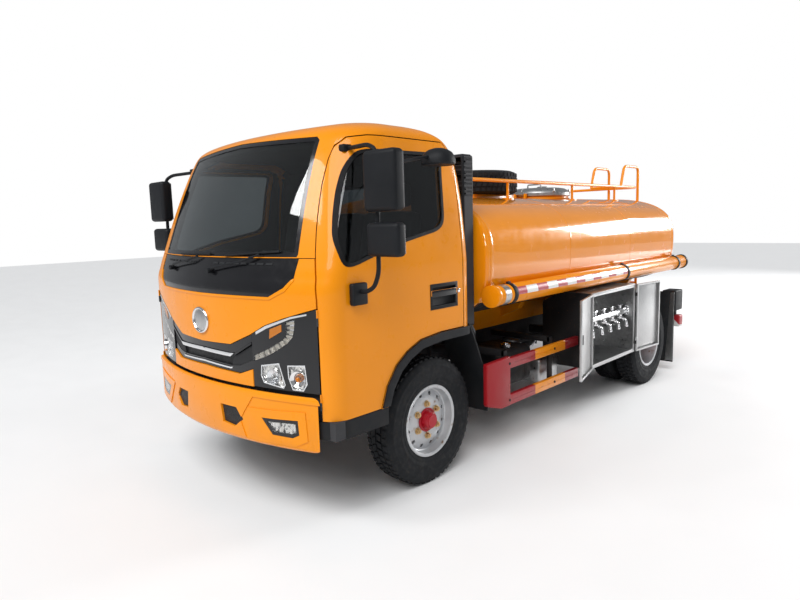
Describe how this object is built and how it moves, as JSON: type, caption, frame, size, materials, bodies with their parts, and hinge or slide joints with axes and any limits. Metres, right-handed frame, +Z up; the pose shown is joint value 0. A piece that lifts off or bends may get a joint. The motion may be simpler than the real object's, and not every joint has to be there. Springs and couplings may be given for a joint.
{
  "type": "tanker truck",
  "caption": "Small cab-over water tanker truck with tilting cab, opening doors, steered front wheels, twin rear wheels, tank with hinged manhole lid, railing and valve cabinet.",
  "frame": {"origin": "on the ground under the middle of the overall length and width", "axes": "+Z up, -Y forward, +X to the truck's left"},
  "size_m": [2.48, 4.955, 2.125],
  "materials": {
    "orange_paint": "gloss orange paint",
    "black_plastic": "moulded black plastic",
    "gloss_black": "gloss black plastic",
    "dark_steel": "black chassis paint",
    "silver_paint": "silver paint",
    "galvanised": "bare cast aluminium",
    "tyre": "black rubber",
    "glass": "tinted glass",
    "fabric": "dark seat cloth",
    "red_paint": "red paint",
    "stainless": "stainless sheet"
  },
  "bodies": {
    "chassis": {"chassis_frame": "dark_steel", "front_axle": "dark_steel", "rear_axle": "dark_steel", "engine_block": "dark_steel", "propshaft": "dark_steel", "bumper": "orange_paint", "fuel_tank": "dark_steel", "air_tank": "silver_paint", "silencer": "stainless", "battery_box": "black_plastic", "tank": "orange_paint", "railing": "orange_paint", "cabinet": "stainless", "mudguards": "black_plastic", "rear_flaps": "black_plastic", "rear_bar": "red_paint", "spare_wheel": "tyre", "snorkel": "black_plastic", "hose_tube_left": "orange_paint", "hose_tube_right": "orange_paint", "side_guard_left": "red_paint", "side_guard_right": "red_paint"},
    "cab": {"cab_floor": "orange_paint", "cab_back": "orange_paint", "cab_roof": "orange_paint", "cowl_panel": "gloss_black", "front_panel": "orange_paint", "grille": "gloss_black", "lower_panel": "orange_paint", "headlamp_left": "gloss_black", "headlamp_right": "gloss_black", "windshield": "glass", "rear_window": "glass", "dashboard": "black_plastic", "seats": "fabric", "fender_left": "black_plastic", "fender_right": "black_plastic"},
    "door_left": {"door_left": "orange_paint", "door_glass_left": "glass", "mirror_left": "black_plastic"},
    "knuckle_left": {"knuckle_left": "dark_steel"},
    "front_wheel_left": {"front_rim_left": "silver_paint", "front_tyre_left": "tyre"},
    "rear_wheel_left": {"rear_rim_left": "silver_paint", "rear_tyre_inner_left": "tyre", "rear_tyre_outer_left": "tyre"},
    "door_right": {"door_right": "orange_paint", "door_glass_right": "glass", "mirror_right": "black_plastic"},
    "knuckle_right": {"knuckle_right": "dark_steel"},
    "front_wheel_right": {"front_rim_right": "silver_paint", "front_tyre_right": "tyre"},
    "rear_wheel_right": {"rear_rim_right": "silver_paint", "rear_tyre_inner_right": "tyre", "rear_tyre_outer_right": "tyre"},
    "steering_wheel": {"steering_wheel": "black_plastic"},
    "cabinet_door_front": {"cabinet_door_front": "stainless"},
    "cabinet_door_rear": {"cabinet_door_rear": "stainless"},
    "manhole_lid": {"manhole_lid": "galvanised"}
  },
  "joints": [
    {"name": "cab_tilt", "type": "hinge", "parent": "chassis", "child": "cab", "pos_m": [0, -2.3625, 0.79], "axis": [1, 0, 0], "range_deg": [0, 45]},
    {"name": "door_left", "type": "hinge", "parent": "cab", "child": "door_left", "pos_m": [0.85037, -2.29756, 0.9], "axis": [0, 0, -1], "range_deg": [0, 70]},
    {"name": "door_right", "type": "hinge", "parent": "cab", "child": "door_right", "pos_m": [-0.85037, -2.29756, 0.9], "axis": [0, 0, 1], "range_deg": [0, 70]},
    {"name": "steering_wheel", "type": "hinge", "parent": "cab", "child": "steering_wheel", "pos_m": [0.38, -2.0375, 1.36], "axis": [0, 0.3401, 0.9404], "range_deg": [-540, 540]},
    {"name": "knuckle_left", "type": "hinge", "parent": "chassis", "child": "knuckle_left", "pos_m": [0.63, -1.4625, 0.385], "axis": [0, 0, 1], "range_deg": [-33.75, 33.75]},
    {"name": "front_wheel_left", "type": "hinge", "parent": "knuckle_left", "child": "front_wheel_left", "pos_m": [0.75, -1.4625, 0.385], "axis": [1, 0, 0], "continuous": true},
    {"name": "rear_wheel_left", "type": "hinge", "parent": "chassis", "child": "rear_wheel_left", "pos_m": [0.765, 1.4875, 0.385], "axis": [1, 0, 0], "continuous": true},
    {"name": "knuckle_right", "type": "hinge", "parent": "chassis", "child": "knuckle_right", "pos_m": [-0.63, -1.4625, 0.385], "axis": [0, 0, 1], "range_deg": [-33.75, 33.75]},
    {"name": "front_wheel_right", "type": "hinge", "parent": "knuckle_right", "child": "front_wheel_right", "pos_m": [-0.75, -1.4625, 0.385], "axis": [1, 0, 0], "continuous": true},
    {"name": "rear_wheel_right", "type": "hinge", "parent": "chassis", "child": "rear_wheel_right", "pos_m": [-0.765, 1.4875, 0.385], "axis": [1, 0, 0], "continuous": true},
    {"name": "cabinet_door_front", "type": "hinge", "parent": "chassis", "child": "cabinet_door_front", "pos_m": [1.032, 0.2115, 0.7], "axis": [0, 0, 1], "range_deg": [0, 165]},
    {"name": "cabinet_door_rear", "type": "hinge", "parent": "chassis", "child": "cabinet_door_rear", "pos_m": [1.032, 1.0235, 0.7], "axis": [0, 0, -1], "range_deg": [0, 174]},
    {"name": "manhole_lid", "type": "hinge", "parent": "chassis", "child": "manhole_lid", "pos_m": [0, 0.8255, 1.79], "axis": [1, 0, 0], "range_deg": [0, 105]}
  ],
  "couplings": [
    {"joint": "knuckle_left", "follows": "steering_wheel", "ratio": 0.0625},
    {"joint": "knuckle_right", "follows": "steering_wheel", "ratio": 0.0625}
  ]
}
